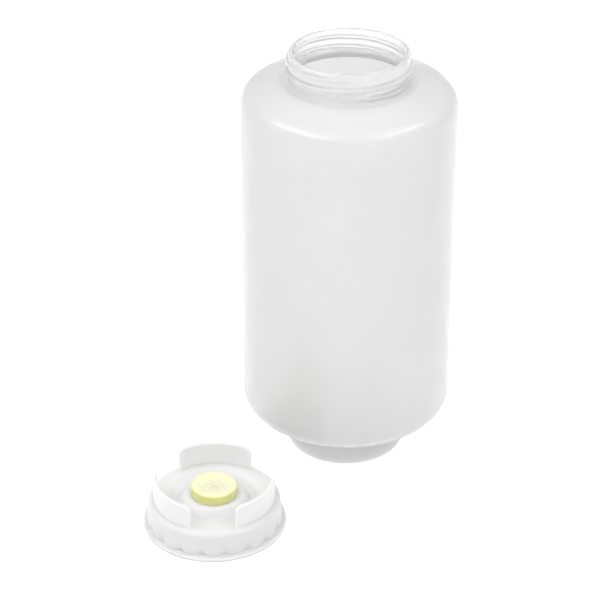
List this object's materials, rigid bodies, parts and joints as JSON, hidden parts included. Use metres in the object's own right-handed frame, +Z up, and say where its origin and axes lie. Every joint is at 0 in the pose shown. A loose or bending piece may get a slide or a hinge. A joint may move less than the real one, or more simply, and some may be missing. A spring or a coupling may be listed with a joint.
{
  "type": "squeeze bottle",
  "caption": "Milky wide-mouth squeeze bottle with a threaded neck and a stepped foot, with its fluted dispensing cap and soft slit valve lying beside it.",
  "frame": {"origin": "on the table, at the middle of the ground that the bottle and the cap beside it cover together", "axes": "+Z up along the bottle's axis, +X to the right and +Y away from a viewer who faces the set with the cap at front left"},
  "size_m": [0.1321, 0.1412, 0.1846],
  "materials": {
    "bottle_plastic": "satin, milky and slightly see-through",
    "cap_plastic": "satin, white",
    "valve_silicone": "soft pale yellow-green silicone"
  },
  "bodies": {
    "root": {"bottle": "bottle_plastic", "cap": "cap_plastic", "valve": "valve_silicone"}
  },
  "joints": []
}
